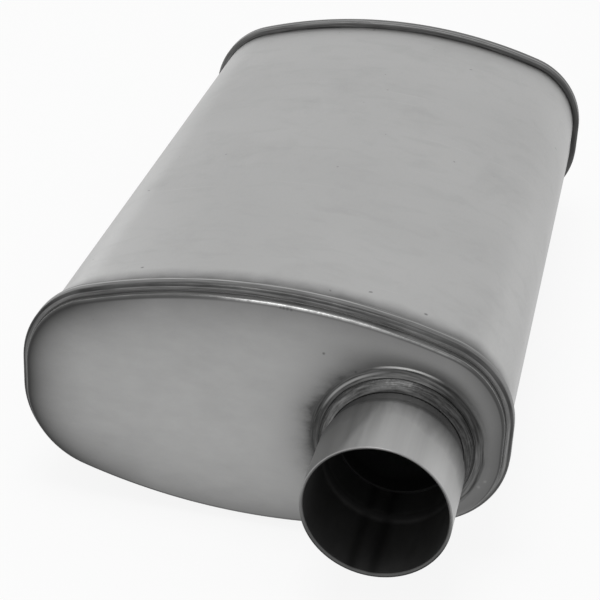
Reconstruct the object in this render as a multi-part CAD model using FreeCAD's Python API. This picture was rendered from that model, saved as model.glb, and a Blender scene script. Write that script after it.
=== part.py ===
import FreeCAD, Part
import math
import os

# Oval exhaust muffler with a rolled seam and an offset slip-on neck at each end.
# Frame: X along the oval's long axis, Y along the gas flow from inlet (-Y) to outlet (+Y), Z up.
# The origin is under the middle of the case, on the surface that the two seams lie on.

V = FreeCAD.Vector

# Case, measured over the outside of the wrapped shell
shell_width = 228.6
shell_height = 118.0
corner_radius = 40.3
end_flat = 14.0
case_length = 372.0

# Sheet and fits
sheet = 1.1
inner_wrap_sheet = 0.7
fold_gap = 0.05
slip_gap = 0.1

# Rolled seam that joins each head to the shell
seam_length = 7.6
seam_front_radius = 1.8
seam_back_radius = 1.2

# Heads: one stamping, used turned about at the two ends
head_rise = 7.2
shoulder_radius = 6.0
panel_inset = 8.0
collar_radius = 9.0
collar_height = 5.5
weld_gap = 0.15

# Necks, each swaged out at the mouth to slip over a pipe
neck_offset = 66.0
neck_drop_height = 4.0
neck_outer_radius = 31.75
neck_wall = 1.6
mouth_bore_radius = 32.3
mouth_edge_radius = 0.5
swage_length = 5.0
swage_bend = 6.0
swage_clearance = 5.1
neck_reach_length = 63.3
neck_root_depth = 14.0

# Weld bead round each neck
bead_width = 4.6
bead_toe = 7.0
bead_crown = 0.9

# Lengthwise weld of the shell, on the underside
shell_slot = 1.6
shell_bead_width = 4.2
shell_bead_height = 0.9

# Inner tubes
inner_wall = 1.2
inner_tube_start = 2.0
return_radius = 25.4
chamber_length = 72.0
tube_stickout = 22.0
tack_height = 2.2
tack_arc = 24.0
tacks_round = 3
louvre_length = 12.0
louvre_width = 3.2
louvre_ring_pitch = 30.0
louvres_round = 5

# Baffles, pressed into the case
baffle_sheet = 1.2
baffle_flange = 10.0
baffle_bend = 2.5
baffle_collar = 6.0

# Fibre packing between the baffles
packing_gap = 0.3

# Worked out from the sizes above
corner_x = shell_width / 2 - corner_radius
corner_y = end_flat / 2
crown_radius = (corner_radius ** 2 - corner_x ** 2 - (corner_y - shell_height / 2) ** 2) / (
    2 * (corner_y - shell_height / 2 + corner_radius))
crown_y = shell_height / 2 - crown_radius
corner_angle = math.degrees(math.atan2(corner_y - crown_y, corner_x))
layer = sheet + fold_gap
seam_height = 3 * layer
mid_height = shell_height / 2 + seam_height
half_case = case_length / 2
inner_wrap_offset = -layer
baffle_offset = inner_wrap_offset - inner_wrap_sheet - fold_gap
inner_tube_radius = neck_outer_radius - neck_wall - slip_gap
collar_centre = neck_outer_radius + weld_gap + math.sqrt(
    (collar_radius + sheet) ** 2 - (collar_radius - collar_height) ** 2)
baffle_place = half_case - chamber_length


def rounded_face(corners):
    """Flat face in the XZ plane from corners (x, z, radius), each rounded by its own radius."""
    count = len(corners)
    starts = []
    ends = []
    arcs = []
    for i, (x, z, radius) in enumerate(corners):
        here = V(x, 0, z)
        before = V(corners[i - 1][0], 0, corners[i - 1][1]) - here
        after = V(corners[(i + 1) % count][0], 0, corners[(i + 1) % count][1]) - here
        before.normalize()
        after.normalize()
        if radius <= 0:
            starts.append(here)
            ends.append(here)
            arcs.append(None)
            continue
        half = before.getAngle(after) / 2
        reach = radius / math.tan(half)
        inward = before + after
        inward.normalize()
        centre = here + inward * (radius / math.sin(half))
        starts.append(here + before * reach)
        ends.append(here + after * reach)
        arcs.append(centre - inward * radius)
    edges = []
    for i in range(count):
        if arcs[i] is not None:
            edges.append(Part.Arc(starts[i], arcs[i], ends[i]).toShape())
        following = starts[(i + 1) % count]
        if ends[i].distanceToPoint(following) > 1e-6:
            edges.append(Part.LineSegment(ends[i], following).toShape())
    return Part.Face(Part.Wire(edges))


def oval_wire(offset, height):
    """Closed oval at a height, the given distance outside the shell's outer surface."""
    corner = corner_radius + offset
    crown = crown_radius + offset
    edges = []
    for side, top in ((1, 1), (-1, 1), (-1, -1), (1, -1)):
        middle = math.radians(corner_angle / 2)
        end = math.radians(corner_angle)
        centre = V(side * corner_x, top * corner_y, height)
        flat_point = centre + V(side * corner, 0, 0)
        mid_point = centre + V(side * corner * math.cos(middle), top * corner * math.sin(middle), 0)
        crown_point = centre + V(side * corner * math.cos(end), top * corner * math.sin(end), 0)
        edges.append(Part.Arc(flat_point, mid_point, crown_point).toShape())
    for top in (1, -1):
        reach = crown * math.cos(math.radians(corner_angle))
        rise = crown_y + crown * math.sin(math.radians(corner_angle))
        left = V(-reach, top * rise, height)
        right = V(reach, top * rise, height)
        peak = V(0, top * (crown_y + crown), height)
        edges.append(Part.Arc(left, peak, right).toShape())
    for side in (1, -1):
        foot = V(side * (corner_x + corner), -corner_y, height)
        head = V(side * (corner_x + corner), corner_y, height)
        edges.append(Part.LineSegment(foot, head).toShape())
    return Part.Wire(Part.__sortEdges__(edges))


def oval_block(offset, low, high):
    """Solid oval prism between two heights."""
    return Part.Face(oval_wire(offset, low)).extrude(V(0, 0, high - low))


def sweep_round_oval(face):
    """Carries a profile round the oval; its x is the distance outside the shell's outer surface."""
    pieces = []
    for quadrant in range(4):
        side = 1 if quadrant in (0, 3) else -1
        top = 1 if quadrant in (0, 1) else -1
        start = {0: 0, 1: 180 - corner_angle, 2: 180, 3: 360 - corner_angle}[quadrant]
        centre = V(side * corner_x, top * corner_y, 0)
        pieces.append(turned_piece(face, centre, corner_radius, start, corner_angle))
    crown_angle = 180 - 2 * corner_angle
    pieces.append(turned_piece(face, V(0, crown_y, 0), crown_radius, corner_angle, crown_angle))
    pieces.append(turned_piece(face, V(0, -crown_y, 0), crown_radius, 180 + corner_angle, crown_angle))
    for turn in (0, 180):
        flat = face.copy()
        flat.translate(V(shell_width / 2, -corner_y, 0))
        flat = flat.extrude(V(0, end_flat, 0))
        flat.rotate(V(0, 0, 0), V(0, 0, 1), turn)
        pieces.append(flat)
    return pieces[0].multiFuse(pieces[1:])


def turned_piece(face, centre, radius, start, angle):
    """One arc of the sweep: the profile turned about the arc's own centre."""
    piece = face.copy()
    piece.translate(V(radius, 0, 0))
    piece.rotate(V(0, 0, 0), V(0, 0, 1), start)
    piece.translate(centre)
    return piece.revolve(centre, V(0, 0, 1), angle)


def revolved(face, x=0.0, y=0.0):
    """Full turn of a profile about a line parallel to Z through (x, y)."""
    piece = face.revolve(V(0, 0, 0), V(0, 0, 1), 360)
    piece.translate(V(x, y, 0))
    return piece


def pipe(outer, wall, low, high, x=0.0, y=0.0):
    """Plain tube parallel to Z."""
    outside = Part.makeCylinder(outer, high - low, V(x, y, low))
    return outside.cut(Part.makeCylinder(outer - wall, high - low, V(x, y, low)))


def one_solid(shape):
    """The single solid of a boolean's result, without split faces."""
    return shape.removeSplitter().Solids[0]


def make_shell():
    """Outer wrap: a sheet whose two ends are flanged outward and folded back for the seams."""
    flange_out = 2 * layer
    tip = half_case - seam_length + layer
    face_near = half_case - layer
    corners = [(-sheet, -face_near, 0), (flange_out, -face_near, seam_front_radius - sheet)]
    corners += [(flange_out, -tip, 0), (flange_out - sheet, -tip, 0)]
    corners += [(flange_out - sheet, -face_near + sheet, 0), (0, -face_near + sheet, 0)]
    corners += [(x, -z, radius) for x, z, radius in reversed(corners)]
    shell = sweep_round_oval(rounded_face(corners))
    slot_corner = V(-shell_slot / 2, -shell_height / 2 - seam_height, -half_case)
    slot = Part.makeBox(shell_slot, 2 * seam_height, case_length, slot_corner)
    return one_solid(shell.cut(slot))


def make_shell_weld(shell):
    """Bead that closes the wrap's lengthwise slot on the underside."""
    underside = -shell_height / 2
    end = half_case - seam_length - fold_gap
    half_bead = shell_bead_width / 2
    left = V(-half_bead, underside + sheet, -end)
    right = V(half_bead, underside + sheet, -end)
    right_edge = V(half_bead, underside, -end)
    left_edge = V(-half_bead, underside, -end)
    low = V(0, underside - shell_bead_height, -end)
    edges = [Part.LineSegment(left, right).toShape()]
    edges.append(Part.LineSegment(right, right_edge).toShape())
    edges.append(Part.Arc(right_edge, low, left_edge).toShape())
    edges.append(Part.LineSegment(left_edge, left).toShape())
    bead = Part.Face(Part.Wire(edges)).extrude(V(0, 0, 2 * end))
    return one_solid(bead.cut(shell))


def make_inner_wrap():
    """Second wrap, lying against the inside of the first."""
    end = half_case - layer - sheet - fold_gap
    outside = oval_block(inner_wrap_offset, -end, end)
    return one_solid(outside.cut(oval_block(inner_wrap_offset - inner_wrap_sheet, -end, end)))


def make_head():
    """Stamped head: raised panel, round shoulder, flange rolled over the shell's, and neck collar."""
    hook_front = -2 * layer
    corners = [(-panel_inset, head_rise, 0), (0, head_rise, shoulder_radius), (0, 0, 0)]
    corners += [(seam_height, 0, seam_front_radius), (seam_height, -seam_length, seam_back_radius)]
    corners += [(fold_gap, -seam_length, 0), (fold_gap, hook_front, 0), (layer, hook_front, 0)]
    corners += [(layer, -seam_length + sheet, 0), (seam_height - sheet, -seam_length + sheet, 0)]
    corners += [(seam_height - sheet, -sheet, 0), (-sheet, -sheet, 0)]
    corners += [(-sheet, head_rise - sheet, shoulder_radius - sheet)]
    corners += [(-panel_inset, head_rise - sheet, 0)]
    head = sweep_round_oval(rounded_face(corners))
    panel = oval_block(-panel_inset, head_rise - sheet, head_rise)
    hole_foot = V(neck_offset, -neck_drop_height, head_rise - shoulder_radius)
    hole = Part.makeCylinder(collar_centre, 2 * shoulder_radius, hole_foot)
    head = head.fuse(panel).cut(hole)
    return one_solid(head.fuse(make_head_collar()))


def arc_through(centre, radius, start, end):
    """Short arc about a centre, by way of the point midway between its two ends."""
    middle = (start + end) * 0.5 - centre
    middle.normalize()
    return Part.Arc(start, centre + middle * radius, end).toShape()


def make_head_collar():
    """Rim of the neck hole, drawn outward on a round radius."""
    centre = V(collar_centre, 0, head_rise + collar_radius)
    back_radius = collar_radius + sheet
    lip_height = head_rise + collar_height
    outer_lip = V(collar_edge(collar_radius, lip_height), 0, lip_height)
    inner_lip = V(collar_edge(back_radius, lip_height), 0, lip_height)
    outer_foot = V(collar_centre, 0, head_rise)
    inner_foot = V(collar_centre, 0, head_rise - sheet)
    edges = [arc_through(centre, collar_radius, outer_foot, outer_lip)]
    edges.append(Part.LineSegment(outer_lip, inner_lip).toShape())
    edges.append(arc_through(centre, back_radius, inner_lip, inner_foot))
    edges.append(Part.LineSegment(inner_foot, outer_foot).toShape())
    return revolved(Part.Face(Part.Wire(edges)), neck_offset, -neck_drop_height)


def collar_edge(radius, height):
    """Distance from the neck's axis to the collar's round side at a height."""
    return collar_centre - math.sqrt(radius ** 2 - (head_rise + collar_radius - height) ** 2)


def make_neck():
    """Neck pipe: plain through the head, swaged out to the slip-on bore at its mouth."""
    root = -neck_root_depth
    swage_start = head_rise + bead_toe + swage_clearance
    swage_end = swage_start + swage_length
    mouth_outer = mouth_bore_radius + neck_wall
    bore = neck_outer_radius - neck_wall
    corners = [(neck_outer_radius, root, 0), (neck_outer_radius, swage_start, swage_bend)]
    corners += [(mouth_outer, swage_end, swage_bend + neck_wall)]
    corners += [(mouth_outer, neck_reach_length, mouth_edge_radius)]
    corners += [(mouth_bore_radius, neck_reach_length, mouth_edge_radius)]
    corners += [(mouth_bore_radius, swage_end, swage_bend)]
    corners += [(bore, swage_start, swage_bend + neck_wall), (bore, root, 0)]
    return revolved(rounded_face(corners), neck_offset, -neck_drop_height)


def make_neck_weld():
    """Bead between the collar's rim and the neck, with a crowned face and a seat on the collar."""
    collar_middle = V(collar_centre, 0, head_rise + collar_radius)
    lip_height = head_rise + collar_height
    root = V(neck_outer_radius, 0, lip_height)
    toe = V(neck_outer_radius, 0, head_rise + bead_toe)
    lip = V(collar_edge(collar_radius, lip_height), 0, lip_height)
    seat_x = neck_outer_radius + bead_width
    seat_drop = math.sqrt(collar_radius ** 2 - (collar_centre - seat_x) ** 2)
    seat = V(seat_x, 0, head_rise + collar_radius - seat_drop)
    chord = seat - toe
    outward = V(-chord.z, 0, chord.x)
    outward.normalize()
    crown = (toe + seat) * 0.5 + outward * bead_crown
    edges = [Part.LineSegment(root, toe).toShape()]
    edges.append(Part.Arc(toe, crown, seat).toShape())
    edges.append(arc_through(collar_middle, collar_radius, seat, lip))
    edges.append(Part.LineSegment(lip, root).toShape())
    return revolved(Part.Face(Part.Wire(edges)), neck_offset, -neck_drop_height)


def make_flow_tube():
    """Louvred tube that carries on from a neck through all three baffles."""
    low = -baffle_place - tube_stickout
    high = half_case + inner_tube_start
    tube = pipe(inner_tube_radius, inner_wall, low, high, neck_offset, -neck_drop_height)
    return one_solid(tube.cut(louvre_cutters(inner_tube_radius, neck_offset, -neck_drop_height)))


def make_return_tube():
    """Louvred tube on the case's centre line, open in both end chambers."""
    end = baffle_place + tube_stickout
    tube = pipe(return_radius, inner_wall, -end, end)
    return one_solid(tube.cut(louvre_cutters(return_radius, 0, 0)))


def make_tube_tacks(x, y, radius):
    """Small fillet welds that fix a tube to the collar of each baffle it passes through."""
    tacks = []
    for plane, facing in baffle_planes():
        collar_end = plane + facing * baffle_collar
        foot = V(radius + slip_gap + baffle_sheet, 0, collar_end)
        root = V(radius, 0, collar_end)
        top = V(radius, 0, collar_end + facing * tack_height)
        profile = Part.Face(Part.makePolygon([root, foot, top, root]))
        for step in range(tacks_round):
            tack = profile.revolve(V(0, 0, 0), V(0, 0, 1), tack_arc)
            tack.rotate(V(0, 0, 0), V(0, 0, 1), 360.0 / tacks_round * step)
            tack.translate(V(x, y, 0))
            tacks.append(tack)
    return Part.makeCompound(tacks)


def louvre_cutters(radius, x, y):
    """Slots in rings between the baffles, turned half a pitch from ring to ring."""
    room = baffle_place - baffle_flange - baffle_collar
    rings = max(1, int(room / louvre_ring_pitch))
    cutters = []
    for chamber in (-1, 1):
        for ring in range(rings):
            height = chamber * (baffle_place / 2 + (ring - (rings - 1) / 2) * louvre_ring_pitch)
            for step in range(louvres_round):
                angle = 360.0 / louvres_round * (step + 0.5 * (ring % 2))
                cutter = Part.makeBox(2 * radius, louvre_width, louvre_length)
                cutter.translate(V(0, -louvre_width / 2, -louvre_length / 2))
                cutter.rotate(V(0, 0, 0), V(0, 0, 1), angle)
                cutter.translate(V(x, y, height))
                cutters.append(cutter)
    return Part.makeCompound(cutters)


def baffle_planes():
    """Place of each baffle's flat side along the case, and the way that its flange faces."""
    return [(baffle_place, 1), (-baffle_sheet / 2, 1), (-baffle_place, -1)]


def tube_places():
    """Centre and outer radius of each tube, as they pass through the baffles."""
    places = [(neck_offset, -neck_drop_height, inner_tube_radius)]
    places.append((-neck_offset, -neck_drop_height, inner_tube_radius))
    places.append((0, 0, return_radius))
    return places


def make_baffle(plane, facing):
    """Stamped baffle with a turned edge and a drawn collar round each tube."""
    outer = baffle_offset
    inner = outer - baffle_sheet
    corners = [(outer - panel_inset, 0, 0), (outer, 0, baffle_bend), (outer, baffle_flange, 0)]
    corners += [(inner, baffle_flange, 0), (inner, baffle_sheet, baffle_bend - baffle_sheet)]
    corners += [(outer - panel_inset, baffle_sheet, 0)]
    baffle = sweep_round_oval(rounded_face(corners))
    baffle = baffle.fuse(oval_block(outer - panel_inset, 0, baffle_sheet))
    for x, y, radius in tube_places():
        hole = radius + slip_gap
        collar = Part.makeCylinder(hole + baffle_sheet, baffle_collar, V(facing * x, y, 0))
        bore = Part.makeCylinder(hole, baffle_collar, V(facing * x, y, 0))
        baffle = baffle.fuse(collar).cut(bore)
    if facing < 0:
        baffle.rotate(V(0, 0, 0), V(0, 1, 0), 180)
    baffle.translate(V(0, 0, plane))
    return one_solid(baffle)


def make_packing(low, high):
    """Fibre packing that fills the case round the tubes between two baffles."""
    block = oval_block(baffle_offset - packing_gap, low, high)
    for x, y, radius in tube_places():
        hole = radius + slip_gap + baffle_sheet + packing_gap
        block = block.cut(Part.makeCylinder(hole, high - low, V(x, y, low)))
    return one_solid(block)


def in_case_frame(shape):
    """From the local frame, Z towards the inlet, to the part's own frame."""
    placed = shape.copy()
    placed.rotate(V(0, 0, 0), V(1, 0, 0), 90)
    placed.translate(V(0, 0, mid_height))
    return placed


def at_end(shape, end):
    """Places a piece, drawn from the seam's front plane outward, at the inlet or outlet."""
    placed = shape.copy()
    placed.translate(V(0, 0, half_case))
    placed = in_case_frame(placed)
    if end == "outlet":
        placed.rotate(V(0, 0, 0), V(0, 0, 1), 180)
    return placed


def turned_round(shape, end):
    """Places a piece drawn in the case's local frame for the inlet, turned about for the outlet."""
    placed = in_case_frame(shape)
    if end == "outlet":
        placed.rotate(V(0, 0, 0), V(0, 0, 1), 180)
    return placed


def build():
    """Every node of the muffler, by name."""
    nodes = {}
    shell = make_shell()
    nodes["outer_shell"] = in_case_frame(shell)
    nodes["shell_seam_weld"] = in_case_frame(make_shell_weld(shell))
    nodes["inner_wrap"] = in_case_frame(make_inner_wrap())
    head = make_head()
    neck = make_neck()
    weld = make_neck_weld()
    flow_tube = make_flow_tube()
    for end in ("inlet", "outlet"):
        nodes[end + "_head"] = at_end(head, end)
        nodes[end + "_neck"] = at_end(neck, end)
        nodes[end + "_neck_weld"] = at_end(weld, end)
        nodes[end + "_tube"] = turned_round(flow_tube, end)
    nodes["return_tube"] = in_case_frame(make_return_tube())
    for name, (x, y, radius) in zip(("inlet", "outlet", "return"), tube_places()):
        nodes[name + "_tube_tacks"] = in_case_frame(make_tube_tacks(x, y, radius))
    for name, (plane, facing) in zip(("front", "middle", "rear"), baffle_planes()):
        nodes[name + "_baffle"] = in_case_frame(make_baffle(plane, facing))
    middle_back = -baffle_sheet / 2
    middle_front = middle_back + baffle_flange
    packing_end = baffle_place - packing_gap
    nodes["front_packing"] = in_case_frame(make_packing(middle_front + packing_gap, packing_end))
    nodes["rear_packing"] = in_case_frame(make_packing(-packing_end, middle_back - packing_gap))
    return nodes


os.makedirs("parts", exist_ok=True)
for name, solid in build().items():
    solid.exportStep("parts/" + name + ".step")
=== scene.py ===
import math

import bpy
import numpy as np
from mathutils import Matrix


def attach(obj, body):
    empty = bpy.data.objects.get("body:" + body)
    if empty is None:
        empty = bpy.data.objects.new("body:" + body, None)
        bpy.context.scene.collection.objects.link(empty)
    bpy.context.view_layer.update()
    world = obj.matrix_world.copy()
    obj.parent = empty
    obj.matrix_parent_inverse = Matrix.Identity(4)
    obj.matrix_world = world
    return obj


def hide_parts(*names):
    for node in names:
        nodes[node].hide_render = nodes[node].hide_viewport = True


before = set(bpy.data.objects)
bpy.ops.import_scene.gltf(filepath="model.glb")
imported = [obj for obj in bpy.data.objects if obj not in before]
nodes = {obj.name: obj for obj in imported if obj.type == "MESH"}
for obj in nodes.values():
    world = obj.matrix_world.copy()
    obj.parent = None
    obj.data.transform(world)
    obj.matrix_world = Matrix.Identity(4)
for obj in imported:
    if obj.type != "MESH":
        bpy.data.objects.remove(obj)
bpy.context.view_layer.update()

# Camera.
# The photograph's own camera: in front of the inlet end, a little to the right, looking down
# at the case at about 29 degrees, with a long lens and a slight roll.
camera_turn, camera_height_angle, camera_roll = 0.193, 0.502, 0.051
camera_place = [0.1506, -0.8757, 0.5083]
lens_length, film_width = 106.7, 36.0
back = np.array([math.sin(camera_turn) * math.cos(camera_height_angle),
                 -math.cos(camera_turn) * math.cos(camera_height_angle),
                 math.sin(camera_height_angle)])
level = np.cross([0.0, 0.0, 1.0], back)
level /= np.linalg.norm(level)
upright = np.cross(back, level)
right = math.cos(camera_roll) * level + math.sin(camera_roll) * upright
up = -math.sin(camera_roll) * level + math.cos(camera_roll) * upright
lens = bpy.data.cameras.new("photo_camera")
lens.sensor_width = film_width
lens.lens = lens_length
camera = bpy.data.objects.new("photo_camera", lens)
stand = np.eye(4)
stand[:3, 0], stand[:3, 1], stand[:3, 2] = right, up, back
stand[:3, 3] = camera_place
camera.matrix_world = Matrix(stand.tolist())
bpy.context.scene.collection.objects.link(camera)
bpy.context.scene.camera = camera

# Wrapped shell.
# One stainless sheet rolled into an oval, butt-welded along the underside. Its two ends are
# flanged outward and folded back, and lie inside the rolled seams. Satin mill finish.
corner_x, corner_z, corner_radius = 0.0740, 0.0070, 0.0403
shell_top = 0.0590
mid_height = 0.06245
seam_plane, seam_length = 0.1860, 0.0076
sheet, fold_gap, fold_bend = 0.0011, 0.00005, 0.0007
oval_steps = 24


def oval_outline(steps):
    """Round the oval from the middle of the underside, by the direction a of its outward
    normal: point = centre + radius * (cos a, sin a), with one centre and radius for each of
    the four corner arcs and the two shallow crowns. Returns x, z, and the normal's x and z."""
    crown = (corner_radius ** 2 - corner_x ** 2 - (corner_z - shell_top) ** 2) / (
        2 * (corner_z - shell_top + corner_radius))
    half = math.degrees(math.atan2(corner_z - shell_top + crown, corner_x))
    low = crown - shell_top
    spans = [(-90, -half, 0, low, crown, steps),
             (-half, 0, corner_x, -corner_z, corner_radius, steps),
             (0, half, corner_x, corner_z, corner_radius, steps),
             (half, 180 - half, 0, -low, crown, 2 * steps),
             (180 - half, 180, -corner_x, corner_z, corner_radius, steps),
             (180, 180 + half, -corner_x, -corner_z, corner_radius, steps),
             (180 + half, 270, 0, low, crown, steps)]
    xs, zs, turns = [], [], []
    for start, end, centre_x, centre_z, radius, count in spans:
        keep_last = end in (0, 180)
        a = np.radians(np.linspace(start, end, count + 1))[:count + 1 if keep_last else count]
        xs.append(centre_x + radius * np.cos(a))
        zs.append(centre_z + radius * np.sin(a))
        turns.append(a)
    a = np.concatenate(turns)
    return np.concatenate(xs), np.concatenate(zs), np.cos(a), np.sin(a)


def rounded_loop(corners, steps=6):
    """Closed profile from corners (across, along, radius): each corner is replaced by the arc
    of its radius that touches both sides, at equal angles from one touching point to the next."""
    corners = np.asarray(corners, float)
    here = corners[:, :2]
    before = np.roll(here, 1, 0) - here
    after = np.roll(here, -1, 0) - here
    before /= np.linalg.norm(before, axis=1)[:, None]
    after /= np.linalg.norm(after, axis=1)[:, None]
    half = np.arccos(np.clip((before * after).sum(1), -1, 1)) / 2
    inward = before + after
    inward /= np.linalg.norm(inward, axis=1)[:, None]
    points = []
    for place, arm, bisector, angle, radius in zip(here, before, inward, half, corners[:, 2]):
        if radius <= 0:
            points.append(place[None])
            continue
        centre = place + bisector * radius / math.sin(angle)
        sweep = np.linspace(-(math.pi / 2 - angle), math.pi / 2 - angle, steps + 1)
        side = np.array([-bisector[1], bisector[0]])
        side *= -np.sign((side * arm).sum())
        points.append(centre - radius * (np.cos(sweep)[:, None] * bisector
                                         - np.sin(sweep)[:, None] * side))
    return np.concatenate(points)


def held_flat(profile, near=0.0003, long=0.0020):
    """The closed profile with two more points in each side that is longer than long, the given
    distance from its ends, so that the smooth shading of a bend stays in the bend."""
    ahead = np.roll(profile, -1, 0) - profile
    length = np.linalg.norm(ahead, axis=1)[:, None]
    step = ahead / np.maximum(length, 1e-9) * near
    candidates = np.stack([profile, profile + step, profile + ahead - step], 1)
    is_long = length[:, 0] > long
    return candidates[np.stack([np.ones(len(profile), bool), is_long, is_long], 1)]


def swept_round_oval(profile):
    """Profile (distance outside the shell, place along the case) carried round the oval:
    point = outline + distance * outward normal, at that place along the case."""
    across, along = profile[:, 0][:, None], profile[:, 1][:, None]
    x = round_x + across * out_x
    z = round_z + across * out_z + mid_height
    return np.stack([x, np.broadcast_to(along, x.shape), z], -1)


def skin(name, grid, marks=None):
    """Mesh of a grid of points (rows, columns, xyz) that is closed in both directions: each
    face joins a point to the next in its row and in the next row, and faces outward, by the
    sign of the volume that the triangles from the origin enclose. marks are named numbers on
    the same grid. The object sits at the origin."""
    rows, columns = grid.shape[:2]
    i, j = np.meshgrid(np.arange(rows), np.arange(columns), indexing="ij")
    i2, j2 = (i + 1) % rows, (j + 1) % columns
    quads = np.stack([i * columns + j, i * columns + j2, i2 * columns + j2, i2 * columns + j], -1)
    quads = quads.reshape(-1, 4)
    points = grid.reshape(-1, 3)
    a, b, c, d = (points[quads[:, k]] for k in range(4))
    volume = (a * np.cross(b, c)).sum() + (a * np.cross(c, d)).sum()
    if volume < 0:
        quads = quads[:, ::-1]
    mesh = bpy.data.meshes.new(name)
    mesh.from_pydata(points.tolist(), [], quads.tolist())
    for label, values in (marks or {}).items():
        layer = mesh.attributes.new(label, "FLOAT", "POINT")
        layer.data.foreach_set("value", np.ascontiguousarray(values, np.float32).ravel())
    mesh.polygons.foreach_set("use_smooth", np.ones(len(mesh.polygons), bool))
    mesh.update()
    piece = bpy.data.objects.new(name, mesh)
    bpy.context.scene.collection.objects.link(piece)
    return piece


def material(name):
    """New node material: returns it, its node tree and its surface shader."""
    made = bpy.data.materials.new(name)
    made.use_nodes = True
    return made, made.node_tree, made.node_tree.nodes["Principled BSDF"]


def add(tree, kind, **settings):
    """Adds a node. A setting that the node has is set on it. Any other names an input, or its
    number after in_, and is linked where it is a socket."""
    node = tree.nodes.new(kind)
    for key, value in settings.items():
        if hasattr(node, key):
            setattr(node, key, value)
    for key, value in settings.items():
        if not hasattr(node, key):
            socket = node.inputs[int(key[3:]) if key[:3] == "in_" else key]
            if isinstance(value, bpy.types.NodeSocket):
                tree.links.new(value, socket)
            else:
                socket.default_value = value
    return node


def stretched(tree, scale):
    """The piece's own coordinates in metres, scaled along each axis."""
    place = add(tree, "ShaderNodeTexCoord").outputs["Object"]
    return add(tree, "ShaderNodeMapping", Vector=place, Scale=scale).outputs[0]


def cloud(tree, scale, detail, rough, stretch=(1, 1, 1), warp=0.0):
    """Noise of about the given number of blots per metre, from 0 to 1."""
    return add(tree, "ShaderNodeTexNoise", Vector=stretched(tree, stretch), Scale=scale,
               Detail=detail, Roughness=rough, Distortion=warp).outputs[0]


def between(tree, value, low, high, to_low=0.0, to_high=1.0):
    """Value from low to high becomes to_low to to_high, held at the ends."""
    return add(tree, "ShaderNodeMapRange", Value=value, in_1=low, in_2=high, in_3=to_low,
               in_4=to_high).outputs[0]


def sums(tree, operation, a, b=0.0):
    """Arithmetic on one value or two."""
    return add(tree, "ShaderNodeMath", operation=operation, in_0=a, in_1=b).outputs[0]


def product(tree, first, *others):
    """Values or numbers multiplied together."""
    for other in others:
        first = sums(tree, "MULTIPLY", first, other)
    return first


def toned(tree, level, where, tone, share=None):
    """Level, brought to the tone where the second value is 1, or by the given share of that."""
    if share is not None:
        where = product(tree, where, share)
    return add(tree, "ShaderNodeMix", in_0=where, in_2=level, in_3=tone).outputs[0]


def spot(tree, x, y, middle_x, middle_y, size):
    """0.7 at a middle place, fading to 0 within the given size of it."""
    off_x = sums(tree, "POWER", sums(tree, "SUBTRACT", x, middle_x), 2.0)
    off_y = sums(tree, "POWER", sums(tree, "SUBTRACT", y, middle_y), 2.0)
    off = sums(tree, "SQRT", sums(tree, "ADD", off_x, off_y))
    return between(tree, off, 0.3 * size, size, 0.7, 0.0)


def raised(tree, shader, height, depth, shade_strength, under=None):
    """Bump from a height of 0 to 1, of the given depth in metres, on the bump under it."""
    node = add(tree, "ShaderNodeBump", Height=height, Distance=depth, Strength=shade_strength)
    if under is not None:
        tree.links.new(under, node.inputs["Normal"])
    tree.links.new(node.outputs[0], shader.inputs["Normal"])
    return node.outputs[0]


def steel(name, tint=(1.0, 1.0, 0.993)):
    """New metal material: returns it, its tree, its shader, and a function that sets its colour
    to the tint at a given level and its roughness."""
    made, tree, shader = material(name)
    shader.inputs["Metallic"].default_value = 1.0

    def finish(level, rough):
        scaled = add(tree, "ShaderNodeVectorMath", operation="SCALE", in_0=tint, Scale=level)
        tree.links.new(scaled.outputs[0], shader.inputs["Base Color"])
        tree.links.new(rough, shader.inputs["Roughness"])
    return made, tree, shader, finish


satin_sheet, tree, shader, finish = steel("satin_sheet")
across, along = add(tree, "ShaderNodeSeparateXYZ", Vector=stretched(tree, (1, 1, 1))).outputs[:2]
soft_blots = cloud(tree, 9.0, 2.0, 0.5)
smudges = between(tree, cloud(tree, 26.0, 5.0, 0.6, (1.0, 0.6, 1.0), 0.4), 0.52, 0.75)
wisps = between(tree, cloud(tree, 85.0, 4.0, 0.6, (0.45, 1.0, 1.0), 0.6), 0.50, 0.72)
grain = cloud(tree, 1400.0, 3.0, 0.6, (1.0, 0.25, 1.0))
scratches = between(tree, cloud(tree, 260.0, 2.0, 0.5, (0.05, 1.6, 0.05)), 0.70, 0.76)
specks = between(tree, cloud(tree, 170.0, 1.0, 0.4), 0.805, 0.83)
level = between(tree, soft_blots, 0.3, 0.7, 0.370, 0.400)
soiling = ((smudges, 0.30, 0.22), (wisps, 0.31, 0.30), (scratches, 0.60, 0.10), (specks, 0.10, 0.6))
for where, tone, share in soiling:
    level = toned(tree, level, where, tone, share)
# two dark nicks beside the inlet seam, and two faint soiled places on the top
for place_x, place_y, size in ((-0.0658, -0.1608, 0.0010), (0.0707, -0.1640, 0.0012)):
    level = toned(tree, level, spot(tree, across, along, place_x, place_y, size), 0.07)
for place_x, place_y, size in ((0.0467, 0.0849, 0.0080), (-0.0333, 0.0515, 0.0120)):
    faint = product(tree, spot(tree, across, along, place_x, place_y, size), smudges)
    level = toned(tree, level, faint, 0.28, 0.5)
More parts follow.
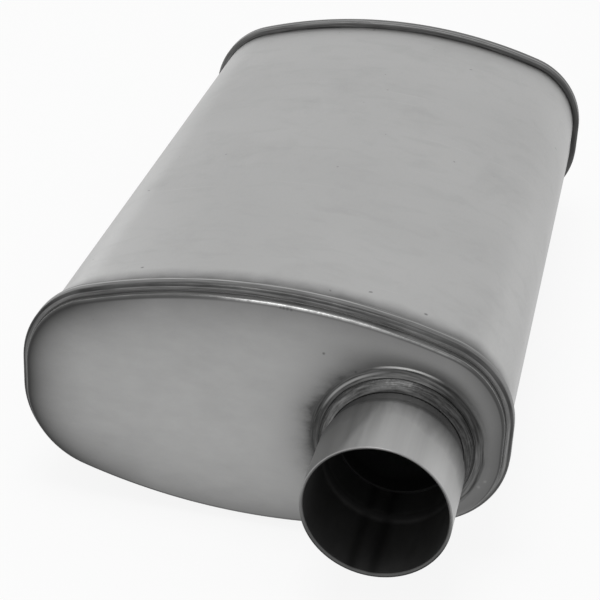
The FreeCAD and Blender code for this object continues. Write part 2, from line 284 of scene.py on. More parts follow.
# painted shade darkens the sheet in a ragged band beside each seam, wider at the inlet end
ragged = between(tree, cloud(tree, 90.0, 3.0, 0.5), 0.3, 0.7, -0.0010, 0.0010)
along = sums(tree, "ADD", along, ragged)
seam_shade = between(tree, along, -0.1625, -0.1735)
seam_shade = sums(tree, "MAXIMUM", seam_shade, between(tree, along, 0.1755, 0.1788))
level = toned(tree, level, sums(tree, "POWER", seam_shade, 1.5), 0.06, 0.80)
rough = between(tree, grain, 0.3, 0.7, 0.38, 0.43)
finish(level, sums(tree, "ADD", rough, product(tree, smudges, 0.06)))
fine = raised(tree, shader, grain, 0.00002, 0.4)
raised(tree, shader, scratches, 0.00001, 0.3, fine)

round_x, round_z, out_x, out_z = oval_outline(oval_steps)
layer = sheet + fold_gap
flange = 2 * layer
fold_tip = seam_plane - seam_length + layer
fold_face = seam_plane - layer
half_profile = [(-sheet, -fold_face, 0.0), (flange, -fold_face, fold_bend), (flange, -fold_tip, 0.0),
                (flange - sheet, -fold_tip, 0.0), (flange - sheet, -fold_face + sheet, 0.0),
                (0.0, -fold_face + sheet, 0.0)]
shell_profile = half_profile + [(a, -b, r) for a, b, r in reversed(half_profile)]
shell = skin("shell_wrap", swept_round_oval(held_flat(rounded_loop(shell_profile))))
shell.data.materials.append(satin_sheet)
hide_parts("outer_shell")
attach(shell, "root")

# Stamped heads.
# Each head is one stamping: a flat raised panel with a round shoulder, a collar drawn outward
# round the neck hole, and a flange rolled over the shell's folded end and crimped under it.
head_rise, wall_top, shoulder_radius, panel_fall_width = 0.0072, 0.0032, 0.0016, 0.0200
seam_height, seam_foot_bend, seam_front_bend, seam_back_bend = 0.00342, 0.0005, 0.0018, 0.0012
neck_x, neck_z = 0.0660, mid_height - 0.0040
neck_radius = 0.03175
collar_radius, collar_height, weld_gap = 0.0090, 0.0055, 0.00015
collar_centre = neck_radius + weld_gap + math.sqrt(
    (collar_radius + sheet) ** 2 - (collar_radius - collar_height) ** 2)


def head_grid():
    """Rows from the collar's lip outward over the panel, the shoulder and the rolled seam, and
    back along the inside. Collar rows are circles round the neck and rim rows are the oval at an
    offset. Between them the panel is flat, then falls as a parabola to the shoulder, whose arc
    starts at the parabola's slope: rise = head_rise - fall * (1 - t / width) ** 2 at the
    distance t from the arc, with slope 2 * fall / width there."""
    turn = np.arctan2(round_z + mid_height - neck_z, round_x - neck_x)

    def ring(radius, rise):
        x = neck_x + radius * np.cos(turn)
        z = neck_z + radius * np.sin(turn)
        return np.stack([x, np.full_like(x, -seam_plane - rise), z], -1)

    def rim(across, rise):
        x, z = round_x + across * out_x, round_z + across * out_z + mid_height
        return np.stack([x, -seam_plane - rise + 0 * x, z], -1)

    def collar(radius, angles):
        return [ring(collar_centre - radius * math.cos(a),
                     head_rise + collar_radius - radius * math.sin(a)) for a in angles]

    lip_drop = collar_radius - collar_height
    thick = collar_radius + sheet
    outer_collar = collar(collar_radius, np.linspace(math.asin(lip_drop / collar_radius),
                                                     math.pi / 2, 12))
    inner_collar = collar(thick, np.linspace(math.pi / 2, math.asin(lip_drop / thick), 9))

    foot = outer_collar[-1]
    slope = np.zeros_like(turn)
    for _ in range(8):
        end = rim(shoulder_radius * (np.sin(slope) - 1), wall_top + shoulder_radius * np.cos(slope))
        span = np.hypot(*(end - foot)[:, [0, 2]].T)
        width = np.minimum(panel_fall_width, 0.85 * span)
        fall = head_rise - wall_top - shoulder_radius * np.cos(slope)
        slope = np.arctan2(2 * fall, width)
    outward = (end - foot)[:, [0, 2]] / span[:, None]

    def panel(t, depth):
        here = np.maximum(1 - t / width, 0)
        tilt = np.arctan(2 * fall / width * here)
        from_foot = np.where(t < span, span - t, 0)[:, None] * outward
        from_foot = from_foot - (depth * np.sin(tilt))[:, None] * outward
        rise = head_rise - fall * here ** 2 - depth * np.cos(tilt)
        return np.stack([foot[:, 0] + from_foot[:, 0], -seam_plane - rise,
                         foot[:, 2] + from_foot[:, 1]], -1)

    def shoulder(radius, share):
        a = share * (math.pi / 2 - slope)
        return rim(radius * np.cos(a) - shoulder_radius, wall_top + radius * np.sin(a))

    falling = [width * share for share in (0.04, 0.1, 0.18, 0.28, 0.4, 0.52, 0.66, 0.82, 1.0)]
    flat = [width + (span - width) * share for share in (0.2, 0.4, 0.6, 0.8, 0.98)]
    outer_panel = [panel(t, 0.0) for t in (falling + flat)[::-1]]
    outer_shoulder = [shoulder(shoulder_radius, share) for share in np.linspace(1, 0, 9)[:-1]]
    inner_shoulder = [shoulder(shoulder_radius - sheet, share) for share in np.linspace(0, 1, 5)[1:]]
    inner_panel = [panel(t, sheet) for t in (falling + flat)[1::2]]
    hook = -2 * layer
    seam = [(0.0, wall_top, 0.0), (0.0, 0.0, seam_foot_bend), (seam_height, 0.0, seam_front_bend),
            (seam_height, -seam_length, seam_back_bend), (fold_gap, -seam_length, 0.0),
            (fold_gap, hook, 0.0), (layer, hook, 0.0), (layer, -seam_length + sheet, 0.0),
            (seam_height - sheet, -seam_length + sheet, 0.0), (seam_height - sheet, -sheet, 0.0),
            (-sheet, -sheet, 0.0), (-sheet, wall_top, 0.0)]
    seam_rows = [rim(across, rise) for across, rise in held_flat(rounded_loop(seam, 8))]
    return np.array(outer_collar + outer_panel + outer_shoulder + seam_rows + inner_shoulder
                    + inner_panel + inner_collar)


def distance_inside(grid):
    """How far each point lies inside the oval of the shell's outer surface, in millimetres and
    seen along the case; outside it the number is negative. It is the shortest distance to the
    outline's points, signed by the side of the nearest one's normal."""
    flat = np.stack([grid[..., 0].ravel(), grid[..., 2].ravel() - mid_height], -1)
    fine_x, fine_z, fine_out_x, fine_out_z = oval_outline(60)
    step = flat[:, None] - np.stack([fine_x, fine_z], -1)[None]
    nearest = np.argmin((step ** 2).sum(-1), 1)
    step = step[np.arange(len(flat)), nearest]
    inside = -(step[:, 0] * fine_out_x[nearest] + step[:, 1] * fine_out_z[nearest])
    return 1000 * inside.reshape(grid.shape[:2])


def own_marks(grid):
    """Places on the inlet end's piece, in millimetres: across from the middle of the case, up
    from it, ahead of the seam's front and out from the neck's axis; and the cosine and sine of
    the turn round that axis, from the outer side over the top."""
    x, y, z = (1000 * grid[..., k] for k in range(3))
    over_x, over_z = x - 1000 * neck_x, z - 1000 * neck_z
    radius = np.hypot(over_x, over_z)
    return {"own_x": x, "own_z": z - 1000 * mid_height, "ahead": -y - 1000 * seam_plane,
            "from_neck": radius, "turn_cos": over_x / radius, "turn_sin": over_z / radius}


def turned_about(grid):
    """The same points, turned half a turn about the vertical, for the outlet end."""
    return grid * np.array([-1.0, -1.0, 1.0])


def mark(tree, name):
    """One of the piece's own named numbers."""
    return add(tree, "ShaderNodeAttribute", attribute_name=name).outputs["Fac"]


def band(tree, value, middle, half, soft):
    """1 where the value lies within half of the middle, fading to 0 over soft."""
    off = sums(tree, "ABSOLUTE", sums(tree, "SUBTRACT", value, middle))
    return between(tree, off, half, half + soft, 1.0, 0.0)


def dying_away(tree, distance, reach):
    """Exponential: 1 at no distance, about a third at the reach."""
    return sums(tree, "EXPONENT", product(tree, distance, -1 / reach))


def dimmed(tree, level, share):
    """Level, less the given share of it."""
    return product(tree, level, sums(tree, "SUBTRACT", 1.0, share))


def drawn_round(tree, across, fineness, length):
    """Noise drawn out round the piece: fine across it, long the other way, in millimetres."""
    place = add(tree, "ShaderNodeCombineXYZ", in_0=product(tree, mark(tree, "own_x"), length),
                in_1=product(tree, mark(tree, "own_z"), length),
                in_2=product(tree, across, fineness))
    return add(tree, "ShaderNodeTexNoise", Vector=place.outputs[0], Scale=1.0, Detail=4.0,
               Roughness=0.6).outputs[0]


def towards(tree, degrees):
    """Cosine of the angle between a point's turn round the neck and the given turn, which may
    be a number or another value."""
    angle = sums(tree, "RADIANS", degrees)
    by_cos = product(tree, mark(tree, "turn_cos"), sums(tree, "COSINE", angle))
    by_sin = product(tree, mark(tree, "turn_sin"), sums(tree, "SINE", angle))
    return sums(tree, "ADD", by_cos, by_sin)


# the places below are in millimetres and the turns in degrees, as own_marks gives them
stamped_head, tree, shader, finish = steel("stamped_head")
inside, ahead, from_neck = mark(tree, "inside"), mark(tree, "ahead"), mark(tree, "from_neck")
own_x, own_z = mark(tree, "own_x"), mark(tree, "own_z")
broad = cloud(tree, 14.0, 3.0, 0.5)
mottle = cloud(tree, 70.0, 5.0, 0.6, (1.0, 1.0, 2.0))
grain = cloud(tree, 1500.0, 3.0, 0.6)
chatter = cloud(tree, 420.0, 3.0, 0.6)
specks = between(tree, cloud(tree, 170.0, 1.0, 0.4), 0.80, 0.83)
level = between(tree, broad, 0.3, 0.7, 0.375, 0.405)
level = product(tree, level, between(tree, mottle, 0.3, 0.75, 1.02, 0.93))
level = toned(tree, level, specks, 0.08, 0.5)
# painted shade darkens the panel towards its rim, most at its two ends
shade_strength = sums(tree, "ADD", between(tree, own_x, -92.0, -50.0, 0.98, 0.54),
                between(tree, own_x, 86.0, 104.0, 0.0, 0.16))
level = dimmed(tree, level, product(tree, dying_away(tree, inside, 13), shade_strength))
# painted shade darkens it round the collar, more on the neck's inner side, with some heat tint from
# welding as well
cloudy = sums(tree, "ADD", from_neck, between(tree, mottle, 0.3, 0.7, -2.0, 2.0))
shade_strength = between(tree, towards(tree, 197.0), -0.2, 0.75, 0.32, 0.86)
collar_shade_and_tint = product(tree, dying_away(tree, sums(tree, "SUBTRACT", cloudy, 40.5), 8), shade_strength)
level = dimmed(tree, level, sums(tree, "MINIMUM", collar_shade_and_tint, 0.80))
# the seam and the wall above it are dull and streaked by the roller along the oval, and painted dark
# as shade:
# darkest on the seam's round front, paler on the wall, and darker at the end that lies away from the
# neck
streaks = drawn_round(tree, sums(tree, "SUBTRACT", ahead, inside), 1.3, 0.05)
on_rim = between(tree, inside, 1.2, 0.3)
rim_shaded_level = product(tree, between(tree, streaks, 0.35, 0.68, 0.085, 0.20), mark(tree, "lit_level"))
rim_shade_fades = ((ahead, -7.5, -6.5, 1.2, 1.0), (ahead, -3.0, -1.4, 1.0, 0.5), (ahead, -0.1, 0.0, 1.0, 3.2),
         (ahead, 0.1, 0.6, 1.0, 0.85), (own_x, -110.0, -90.0, 0.65, 1.0))
for value, low, high, to_low, to_high in rim_shade_fades:
    rim_shaded_level = product(tree, rim_shaded_level, between(tree, value, low, high, to_low, to_high))
level = toned(tree, level, on_rim, rim_shaded_level)
# painted shade lies in the corner that the seam makes with the wall
corner_shade = product(tree, band(tree, inside, 0.0, 0.35, 0.2), band(tree, ahead, 0.2, 0.35, 0.2))
level = toned(tree, level, corner_shade, 0.08)
# a painted highlight runs along the seam's top
top_highlight = product(tree, band(tree, ahead, -5.2, 0.25, 0.5),
                   product(tree, between(tree, own_x, -110.0, -80.0, 0.4, 0.95),
                           between(tree, own_x, 30.0, 80.0, 1.0, 0.35)),
                   product(tree, between(tree, inside, -1.9, -2.6), mark(tree, "lit_level")),
                   between(tree, streaks, 0.35, 0.6, 0.4, 0.9))
level = toned(tree, level, top_highlight, 0.44)
# the top shoulder's crest is painted dark as shade, most at the two ends, and a broken painted
# highlight runs along it
near_crest = between(tree, inside, 2.5, 1.5)
crest_shade = product(tree, band(tree, ahead, 4.35, 0.45, 0.3), near_crest)
crest_shade_strength = sums(tree, "ADD", between(tree, own_x, -50.0, -10.0, 0.75, 0.4),
               between(tree, own_x, 50.0, 85.0, 0.0, 0.4))
level = toned(tree, level, product(tree, crest_shade, crest_shade_strength), 0.05)
crest_highlight = product(tree, band(tree, ahead, 4.35, 0.13, 0.32), near_crest)
highlight_reach = product(tree, between(tree, own_x, -22.0, -4.0), between(tree, own_x, 98.0, 84.0),
               between(tree, own_x, 20.0, 70.0, 1.0, 0.30), between(tree, own_z, 0.0, 20.0),
               between(tree, chatter, 0.36, 0.56, 0.5, 1.0))
level = toned(tree, level, product(tree, crest_highlight, highlight_reach), 0.58)
# the collar's round side is ringed by the punch and painted dark as shade, darkest high on the
# neck's outer side and on its inner side
rings = drawn_round(tree, from_neck, 1.1, 0.06)
on_collar = between(tree, from_neck, 41.4, 40.2)
shaded = product(tree, between(tree, towards(tree, 38.0), 0.83, 0.97, 1.0, 0.42),
                 between(tree, towards(tree, 168.0), 0.5, 0.95, 1.0, 0.5))
rings_and_shade = product(tree, between(tree, rings, 0.35, 0.68, 0.05, 0.19), shaded)
level = toned(tree, level, on_collar, rings_and_shade)
# a few dark nicks on the panel and the shoulder, and two specks low beside the neck
nicks = ((29.4, 38.5, 0.9), (44.6, 31.3, 0.8), (46.5, 28.6, 0.6), (8.0, 57.5, 0.8), (9.5, 57.4, 0.9),
         (11.2, 57.3, 0.9), (13.0, 57.1, 0.8))
low_specks = ((105.3, -20.0, 1.1), (108.0, -16.6, 1.0))
for tone, places in ((0.08, nicks), (0.24, low_specks)):
    for spot_x, spot_z, size in places:
        level = toned(tree, level, spot(tree, own_x, own_z, spot_x, spot_z, size), tone)
# painted highlights: bright where the collar starts to rise above the neck, with a fainter line
# further round
foot_highlight = product(tree, band(tree, from_neck, 41.0, 0.25, 0.45),
                    sums(tree, "POWER", between(tree, towards(tree, 86.0), 0.91, 1.0), 1.3))
upper_highlight = product(tree, band(tree, from_neck, 38.3, 0.2, 0.6),
                     between(tree, towards(tree, 132.0), 0.88, 0.98, 0.0, 0.7))
level = toned(tree, level, foot_highlight, 1.0)
level = toned(tree, level, upper_highlight, 0.36)
rough = between(tree, grain, 0.3, 0.7, 0.38, 0.45)
finish(level, sums(tree, "SUBTRACT", rough, product(tree, crest_highlight, 0.06)))
fine = raised(tree, shader, grain, 0.00002, 0.4)
fine = raised(tree, shader, product(tree, streaks, on_rim), 0.00010, 0.4, fine)
fine = raised(tree, shader, product(tree, rings, on_collar), 0.00008, 0.4, fine)
raised(tree, shader, mottle, 0.00010, 0.3, fine)


def make_head(end):
    """One head, with each point's place against the oval, the seam and the neck marked on it."""
    grid = head_grid()
    marks = {**own_marks(grid), "inside": distance_inside(grid)}
    # the outlet head's seam, wall and seam-top highlight are painted darker, as shade at that end
    marks["lit_level"] = np.full(grid.shape[:2], 1.0 if end == "inlet" else 0.8)
    if end == "outlet":
        grid = turned_about(grid)
    head = skin(end + "_head_stamping", grid, marks)
    head.data.materials.append(stamped_head)
    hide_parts(end + "_head")
    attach(head, "root")


make_head("inlet")
make_head("outlet")

# Necks.
# A short piece of 2.5 in stainless pipe at each end, welded into the collar and swaged out at
# the mouth, so that an exhaust pipe slips in. Drawn finish with lengthwise streaks, and dark
# with heat next to the weld. The pipe's own seam shows as a strip inside.
neck_wall, mouth_bore, neck_reach = 0.0016, 0.0323, 0.0633
neck_depth = 0.0140
weld_toe = head_rise + 0.0070
swage_start = weld_toe + 0.0051
swage_end = swage_start + 0.0050
swage_bend = 0.0060
lip_across, lip_along, lip_round, lip_crest = 0.0011, 0.0010, 0.0004, 0.0002
neck_steps = 180
pipe_seam_turn, strip_edge, strip_soft = -98.0, 9.0, 4.5


def turned_round_neck(profile, count):
    """Profile (radius, distance in front of the seam) turned full circle round the neck's
    axis, starting at the bottom."""
    a = np.linspace(-math.pi / 2, 1.5 * math.pi, count, endpoint=False)
    radius, along = profile[:, 0][:, None], profile[:, 1][:, None]
    x = neck_x + radius * np.cos(a)
    z = neck_z + radius * np.sin(a)
    return np.stack([x, np.broadcast_to(-seam_plane - along, x.shape), z], -1)


neck_steel, tree, shader, finish = steel("drawn_neck")
inner, ahead = mark(tree, "inside"), mark(tree, "ahead")
streaks = cloud(tree, 240.0, 4.0, 0.6, (1.0, 0.03, 1.0))
patches = cloud(tree, 60.0, 4.0, 0.6, (1.0, 0.35, 1.0))
grain = cloud(tree, 1300.0, 3.0, 0.6, (1.0, 0.2, 1.0))
level = between(tree, streaks, 0.3, 0.7, 0.33, 0.38)
# one side is painted darker, as a dark reflection, up to a slanting edge near the top, and the outer
# side is painted darker as shade next to the weld
shade_edge_turn = sums(tree, "ADD", between(tree, ahead, 14.0, 63.0, 182.0, 214.0),
                 between(tree, patches, 0.3, 0.7, -4.0, 4.0))
level = product(tree, level, between(tree, towards(tree, shade_edge_turn), -0.06, 0.06, 1.0, 0.72))
outer_side_shade = product(tree, between(tree, towards(tree, 0.0), 0.35, 0.95, 0.0, 0.30),
                   between(tree, ahead, 32.0, 58.0, 1.0, 0.0))
level = dimmed(tree, level, outer_side_shade)
# the weld's heat has left it dark next to the bead, furthest on the outer side
smoke = cloud(tree, 220.0, 3.0, 0.5, (1.0, 0.3, 1.0))
ragged = sums(tree, "ADD", ahead, between(tree, patches, 0.25, 0.75, -3.0, 3.0))
ragged = sums(tree, "ADD", ragged, between(tree, smoke, 0.25, 0.75, -2.5, 2.5))
ragged = sums(tree, "SUBTRACT", ragged, between(tree, towards(tree, 15.0), 0.4, 1.0, 0.0, 9.0))
hot = between(tree, ragged, 1000 * weld_toe + 3.5, 1000 * weld_toe + 21.0, 1.0, 0.0)
level = toned(tree, level, hot, 0.115, 0.97)
# the inside is painted dark as shade, with the pipe's own seam as a darker strip and a dark line at
# the swage
inner_shade = sums(tree, "ADD", between(tree, patches, 0.3, 0.7, -0.02, 0.02),
             between(tree, ahead, 20.0, 60.0, 0.10, 0.085))
swage_line = band(tree, ahead, 1000 * swage_start + 1.5, 0.8, 1.5)
lines = sums(tree, "MAXIMUM", mark(tree, "seam_strip"), swage_line)
inner_shade = dimmed(tree, inner_shade, product(tree, lines, 0.45))
level = toned(tree, level, inner, inner_shade)
# the cut edge of the mouth is bare, painted pale at the top as a highlight and dark below as shade
edge_light_and_shade = between(tree, mark(tree, "turn_sin"), -0.5, 0.2, 0.035, 0.27)
level = toned(tree, level, mark(tree, "cut_edge"), edge_light_and_shade)
rough = between(tree, streaks, 0.3, 0.7, 0.34, 0.42)
rough = sums(tree, "ADD", rough, product(tree, hot, 0.16))
finish(level, toned(tree, rough, inner, 0.62))
fine = raised(tree, shader, grain, 0.00002, 0.4)
raised(tree, shader, streaks, 0.00003, 0.4, fine)


def make_neck(end):
    """One neck, with its inside, its cut edge and the strip of the pipe's seam marked: the
    strip's two edges are bell curves of the turn, the same distance each side of its middle."""
    outer = mouth_bore + neck_wall
    bore = neck_radius - neck_wall
    corners = [(neck_radius, -neck_depth, 0.0), (neck_radius, swage_start, swage_bend),
               (outer, swage_end, swage_bend + neck_wall), (outer, neck_reach, lip_round),
               (mouth_bore + lip_across, neck_reach, lip_crest),
               (mouth_bore, neck_reach - lip_along, lip_round), (mouth_bore, swage_end, swage_bend),
               (bore, swage_start, swage_bend + neck_wall), (bore, -neck_depth, 0.0)]
    profile = held_flat(rounded_loop(corners))
    grid = turned_round_neck(profile, neck_steps)
    radius, along = profile[:, 0][:, None], profile[:, 1][:, None]
    shape = grid.shape[:2]
    middle = neck_radius + np.clip((along - swage_start) / (swage_end - swage_start), 0, 1) * (
        outer - neck_radius) - neck_wall / 2
    marks = own_marks(grid)
    marks["inside"] = np.broadcast_to(radius < middle - 0.0002, shape).astype(float)
    marks["cut_edge"] = np.broadcast_to(along > neck_reach - 0.0003, shape).astype(float)
    marks["inside"] = marks["inside"] * (1 - marks["cut_edge"])
    turn = np.degrees(np.arctan2(marks["turn_sin"], marks["turn_cos"]))
    marks["seam_strip"] = np.exp(-((np.abs(turn - pipe_seam_turn) - strip_edge) / strip_soft) ** 2)
    if end == "outlet":
        grid = turned_about(grid)
    neck = skin(end + "_neck_pipe", grid, marks)
    neck.data.materials.append(neck_steel)
    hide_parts(end + "_neck")
    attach(neck, "root")


make_neck("inlet")
make_neck("outlet")

# Neck weld beads.
# A bead of weld runs round each neck in the corner that the collar makes with the pipe, laid
# in overlapping ripples about 2 mm apart. It is dark with oxide.
bead_width, bead_crown = 0.0046, 0.0009
ripples_round, ripple_steps = 96, 8


def bead_grid():
    """Chord from the toe on the neck to the seat on the collar, bulged outward as a parabola
    whose height swings with the ripples, crescents that lean back towards the bead's edges, and
    wanders slowly round the neck. The root side is two plain rows."""
    count = ripples_round * ripple_steps
    a = np.linspace(-math.pi / 2, 1.5 * math.pi, count, endpoint=False)
    toe = np.array([neck_radius, weld_toe])
    seat_radius = neck_radius + bead_width
    seat_rise = head_rise + collar_radius - math.sqrt(
        collar_radius ** 2 - (collar_centre - seat_radius) ** 2)
    seat = np.array([seat_radius, seat_rise])
    chord = seat - toe
    outward = np.array([-chord[1], chord[0]])
    outward /= np.linalg.norm(outward)
    s = np.linspace(0, 1, 11)[:, None]
    bulge = 4 * s * (1 - s)
    ripple = 0.5 + 0.5 * np.cos(ripples_round * a[None] + 2.2 * (1 - bulge))
    wander = 0.92 + 0.05 * np.sin(5 * a + 1.0) + 0.03 * np.sin(13 * a)
    height = bead_crown * bulge * (0.95 + 0.05 * ripple ** 0.6) * wander[None]
    radius = toe[0] + chord[0] * s + outward[0] * height
    along = toe[1] + chord[1] * s + outward[1] * height
    root = np.array([[seat_radius - 0.001, seat_rise - 0.0006], [neck_radius, head_rise + 0.0055]])
    radius = np.concatenate([radius, np.repeat(root[:, :1], count, 1)])
    along = np.concatenate([along, np.repeat(root[:, 1:], count, 1)])
    x = neck_x + radius * np.cos(a)
    z = neck_z + radius * np.sin(a)
    across = np.concatenate([np.broadcast_to(s, (len(s), count)), np.ones((1, count)),
                             np.zeros((1, count))])
    grid = np.stack([x, -seam_plane - along, z], -1)
    return grid, {**own_marks(grid), "across": across}


ring_weld, tree, shader, finish = steel("neck_weld_metal")
across = mark(tree, "across")
rings = drawn_round(tree, across, 8.0, 0.09)
scale_spots = cloud(tree, 420.0, 4.0, 0.6)
flecks = between(tree, cloud(tree, 700.0, 2.0, 0.5), 0.70, 0.76)
level = between(tree, rings, 0.36, 0.66, 0.055, 0.20)
level = toned(tree, level, between(tree, scale_spots, 0.5, 0.75, 0.0, 0.5), 0.05)
level = toned(tree, level, flecks, 0.40, 0.3)
# painted shade, darker on the outer side and on top, and in the corners along the seat and, fainter,
# the toe
level = product(tree, level, between(tree, towards(tree, 10.0), 0.3, 0.9, 1.0, 0.5),
                between(tree, towards(tree, 80.0), 0.5, 1.0, 1.0, 0.7))
edge_shade = sums(tree, "MAXIMUM", between(tree, across, 0.86, 0.98),
                  between(tree, across, 0.28, 0.04, 0.0, 0.20))
level = toned(tree, level, edge_shade, 0.045, 0.7)
finish(level, between(tree, scale_spots, 0.3, 0.7, 0.40, 0.52))
fine = raised(tree, shader, rings, 0.00020, 0.6)
raised(tree, shader, scale_spots, 0.00010, 0.4, fine)

for end in ("inlet", "outlet"):
    grid, marks = bead_grid()
    if end == "outlet":
        grid = turned_about(grid)
    bead = skin(end + "_neck_bead", grid, marks)
    bead.data.materials.append(ring_weld)
    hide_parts(end + "_neck_weld")
    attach(bead, "root")

# Lengthwise shell weld.
# The butt joint of the wrapped shell is closed by one long rippled bead on the underside,
# from seam to seam.
bead_half, bead_low, ripple_pitch = 0.0021, 0.0009, 0.0022
bead_steps = 960


def long_bead_grid():
    """Across the bead from edge to edge as a low parabola under the shell, carried along the
    case, its height swinging with ripples that lean back at the edges."""
    end = seam_plane - seam_length - fold_gap
    y = np.linspace(-end, end, bead_steps + 1)[None]
    s = np.linspace(-1, 1, 11)[:, None]
    bulge = 1 - s ** 2
    ripple = 0.5 + 0.5 * np.cos(2 * math.pi * y / ripple_pitch + 2.0 * s ** 2)
    drop = bead_low * bulge * (0.6 + 0.4 * ripple ** 0.6)
    x = np.broadcast_to(bead_half * s, drop.shape)
    z = mid_height - shell_top - drop
    under = np.stack([x, np.broadcast_to(y, drop.shape), z], -1)
    top = np.stack([x[[-1, 0]], np.broadcast_to(y, (2, y.shape[1])),
                    np.full((2, y.shape[1]), mid_height - shell_top + sheet)], -1)
    return np.concatenate([under, top])


def closed_rod(name, grid):
    """Mesh of a grid whose rows close on each other while its columns run from one flat end to
    the other; each end is closed by one face."""
    rows, columns = grid.shape[:2]
    i, j = np.meshgrid(np.arange(rows), np.arange(columns - 1), indexing="ij")
    i2 = (i + 1) % rows
    quads = np.stack([i * columns + j + 1, i2 * columns + j + 1, i2 * columns + j, i * columns + j],
                     -1).reshape(-1, 4).tolist()
    first = (np.arange(rows) * columns).tolist()
    last = (np.arange(rows) * columns + columns - 1)[::-1].tolist()
    mesh = bpy.data.meshes.new(name)
    mesh.from_pydata(grid.reshape(-1, 3).tolist(), [], quads + [first, last])
    smooth = np.ones(len(mesh.polygons), bool)
    smooth[-2:] = False
    mesh.polygons.foreach_set("use_smooth", smooth)
    piece = bpy.data.objects.new(name, mesh)
    bpy.context.scene.collection.objects.link(piece)
    return piece


weld_metal, tree, shader, finish = steel("weld_metal", (1.0, 0.98, 0.95))
scale_spots = cloud(tree, 300.0, 4.0, 0.6)
grain = cloud(tree, 2200.0, 3.0, 0.6)
finish(between(tree, scale_spots, 0.35, 0.7, 0.13, 0.34), between(tree, grain, 0.3, 0.7, 0.34, 0.5))
raised(tree, shader, scale_spots, 0.00015, 0.5)

long_bead = closed_rod("underside_bead", long_bead_grid())
long_bead.data.materials.append(weld_metal)
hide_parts("shell_seam_weld")
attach(long_bead, "root")

# Inside.
# Tubes, baffles and the inner wrap are plain mill-finish sheet, darkened by handling, and painted
# dark as shade at the two ends, where the front edge of the inlet tube shows deep in the neck. The
# tubes' tacks are weld metal. The packing is matted mineral fibre.
inner_sheet, tree, shader, finish = steel("inner_sheet")
along = add(tree, "ShaderNodeSeparateXYZ", Vector=stretched(tree, (1, 1, 1))).outputs[1]
broad = cloud(tree, 30.0, 4.0, 0.55)
grain = cloud(tree, 900.0, 3.0, 0.6, (1.0, 0.1, 1.0))
level = between(tree, broad, 0.3, 0.7, 0.30, 0.42)
# the two ends, seen deep in the necks, are painted dark as shade
inner_shade = between(tree, sums(tree, "ABSOLUTE", along), 0.14, 0.18)
level = toned(tree, level, inner_shade, 0.035, 0.98)
rough = between(tree, grain, 0.3, 0.7, 0.38, 0.5)
finish(level, sums(tree, "ADD", rough, product(tree, inner_shade, 0.3)))
raised(tree, shader, grain, 0.00003, 0.5)


def blended(tree, share, a, b):
    """Colour a, with the given share of colour b."""
    return add(tree, "ShaderNodeMix", data_type="RGBA", in_0=share, in_6=a, in_7=b).outputs[2]


fibre, tree, shader = material("packing_fibre")
strands = cloud(tree, 500.0, 6.0, 0.7, (1.0, 0.3, 1.0), 1.5)
tone = blended(tree, strands, (0.55, 0.50, 0.38, 1.0), (0.86, 0.83, 0.72, 1.0))
tree.links.new(tone, shader.inputs["Base Color"])
tree.links.new(between(tree, strands, 0.3, 0.7, 0.8, 0.95), shader.inputs["Roughness"])
raised(tree, shader, strands, 0.0008, 0.8)

inner_finishes = ((("_tube", "_baffle", "inner_wrap"), inner_sheet), ("_tacks", weld_metal),
                  ("_packing", fibre))
for name, piece in nodes.items():
    for endings, made in inner_finishes:
        if name.endswith(endings):
            piece.data.materials.clear()
            piece.data.materials.append(made)

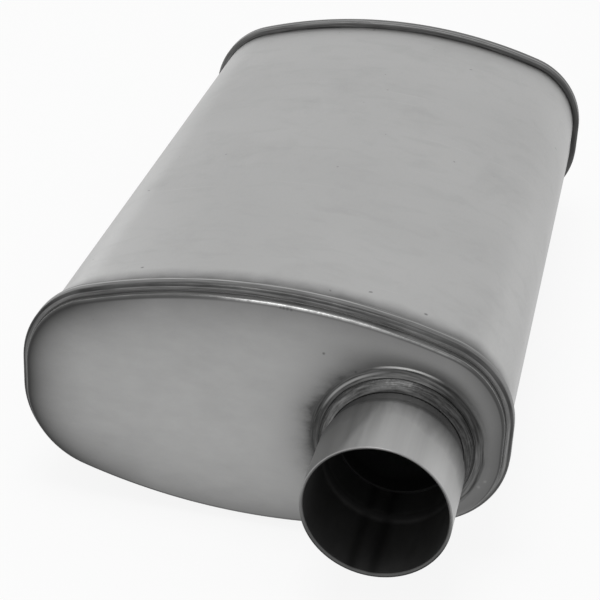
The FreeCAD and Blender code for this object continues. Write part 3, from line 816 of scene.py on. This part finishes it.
# Floor and light.
# A pale, even floor under the case and a plain pale surround. One soft lamp hangs overhead, and
# a faint one low on each side beyond the far end lights the edges of the seams.
floor_reach, floor_grey, shown_share = 12.0, 0.86, 0.88
floor_mesh = bpy.data.meshes.new("floor")
floor_mesh.from_pydata([(-floor_reach, -floor_reach, 0), (floor_reach, -floor_reach, 0),
                        (floor_reach, floor_reach, 0), (-floor_reach, floor_reach, 0)],
                       [], [(0, 1, 2, 3)])
floor = bpy.data.objects.new("floor", floor_mesh)
bpy.context.scene.collection.objects.link(floor)
pale_floor, tree, shader = material("pale_floor")
shader.inputs["Base Color"].default_value = (floor_grey, floor_grey, floor_grey, 1.0)
shader.inputs["Roughness"].default_value = 0.9
shader.inputs["Specular IOR Level"].default_value = 0.0
glow = add(tree, "ShaderNodeEmission", Color=(1.0, 1.0, 1.0, 1.0), Strength=1.0)


def shown(tree):
    """1 for the rays that show the surround: straight to the camera, or by way of metal or glass."""
    rays = add(tree, "ShaderNodeLightPath").outputs
    mirrored = sums(tree, "MAXIMUM", rays["Is Glossy Ray"], rays["Is Transmission Ray"])
    return sums(tree, "MAXIMUM", rays["Is Camera Ray"], mirrored)


mixed = add(tree, "ShaderNodeMixShader", in_0=product(tree, shown(tree), shown_share),
            in_1=shader.outputs[0], in_2=glow.outputs[0])
tree.links.new(mixed.outputs[0], tree.nodes["Material Output"].inputs["Surface"])
floor_mesh.materials.append(pale_floor)

world = bpy.data.worlds.new("surround")
world.use_nodes = True
bpy.context.scene.world = world
tree = world.node_tree
sky = tree.nodes["Background"]
surround = blended(tree, shown(tree), (0.62, 0.62, 0.62, 1.0), (1.0, 1.0, 1.0, 1.0))
tree.links.new(surround, sky.inputs["Color"])
sky.inputs["Strength"].default_value = 1.0


def soft_lamp(name, place, target, power, size=0.7):
    """Square soft lamp at a place, facing a target."""
    light = bpy.data.lights.new(name, "AREA")
    light.shape = "SQUARE"
    light.size = size
    light.energy = power
    lamp = bpy.data.objects.new(name, light)
    away = np.array(place, float) - np.array(target, float)
    away /= np.linalg.norm(away)
    side = np.cross([0.0, 1.0, 0.0], away)
    side /= np.linalg.norm(side)
    pose = np.eye(4)
    pose[:3, 0], pose[:3, 1], pose[:3, 2], pose[:3, 3] = side, np.cross(away, side), away, place
    lamp.matrix_world = Matrix(pose.tolist())
    bpy.context.scene.collection.objects.link(lamp)


soft_lamp("overhead_lamp", (-0.15, -0.25, 1.6), (0.0, -0.1, 0.0), 8.0)
soft_lamp("right_lamp", (1.3, 0.9, 0.35), (0.0, 0.0, 0.06), 0.9)
soft_lamp("left_lamp", (-1.3, 1.1, 0.45), (0.0, 0.0, 0.06), 1.3)

bpy.context.scene.view_settings.view_transform = "Standard"
